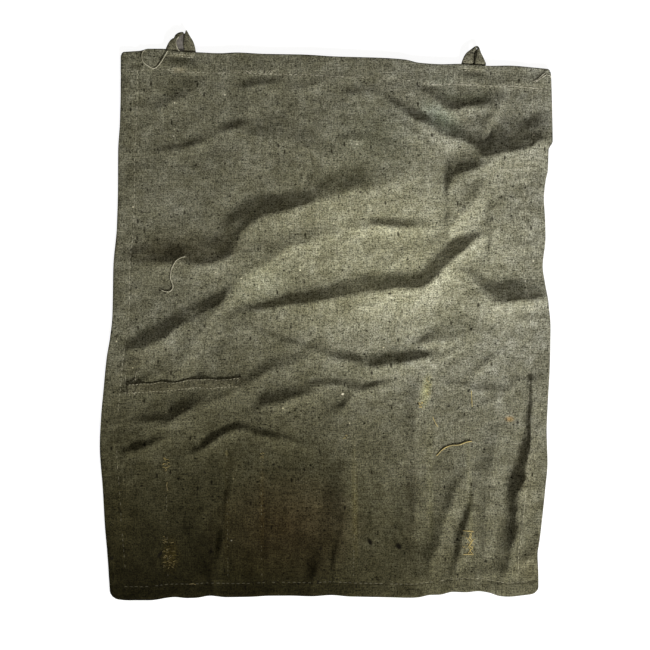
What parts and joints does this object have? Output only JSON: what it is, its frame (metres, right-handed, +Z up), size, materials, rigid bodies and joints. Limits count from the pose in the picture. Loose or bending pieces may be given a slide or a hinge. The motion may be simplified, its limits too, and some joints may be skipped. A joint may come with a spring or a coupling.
{
  "type": "mail sack",
  "caption": "Small flat cloth mail sack with an open hemmed mouth, two hanging loops and a divided inner pocket, lying face up.",
  "frame": {"origin": "on the surface the sack lies on, under the middle of the sack", "axes": "+X across the sack to its right seam, +Y from the bottom seam to the mouth, +Z up out of the front"},
  "size_m": [0.4519, 0.5694, 0.0166],
  "materials": {
    "canvas": "matte",
    "canvas_inside": "matte",
    "tape": "matte",
    "thread": "matte",
    "tack_thread": "matte"
  },
  "bodies": {
    "sack": {"back_panel": "canvas", "front_panel": "canvas", "front_mouth_hem": "canvas_inside", "back_mouth_hem": "canvas_inside", "left_seam_turning": "canvas_inside", "right_seam_turning": "canvas_inside", "bottom_seam_turning": "canvas_inside", "pocket_panel": "canvas_inside", "pocket_top_hem": "canvas_inside", "left_loop_tails": "tape", "right_loop_tails": "tape", "stay_tape": "tape", "mouth_stitching": "thread", "left_seam_stitching": "thread", "right_seam_stitching": "thread", "bottom_seam_stitching": "thread", "stay_tape_stitching": "thread", "left_loop_tack": "thread", "right_loop_tack": "thread", "pocket_divider_stitching": "thread", "pocket_bar_tacks": "tack_thread", "corner_mend": "thread", "loose_thread_loop": "thread", "loose_thread_curl": "thread", "loose_thread_strand": "tack_thread"},
    "left_loop": {"left_loop": "tape"},
    "right_loop": {"right_loop": "tape"}
  },
  "joints": [
    {"name": "left_loop_flop", "type": "hinge", "parent": "sack", "child": "left_loop", "pos_m": [-0.143, 0.2641, 0.00366], "axis": [0.9969, -0.0785, 0], "range_deg": [-5, 105]},
    {"name": "right_loop_flop", "type": "hinge", "parent": "sack", "child": "right_loop", "pos_m": [0.147, 0.25092, 0.00438], "axis": [0.9997, -0.0262, 0], "range_deg": [-5, 105]}
  ]
}
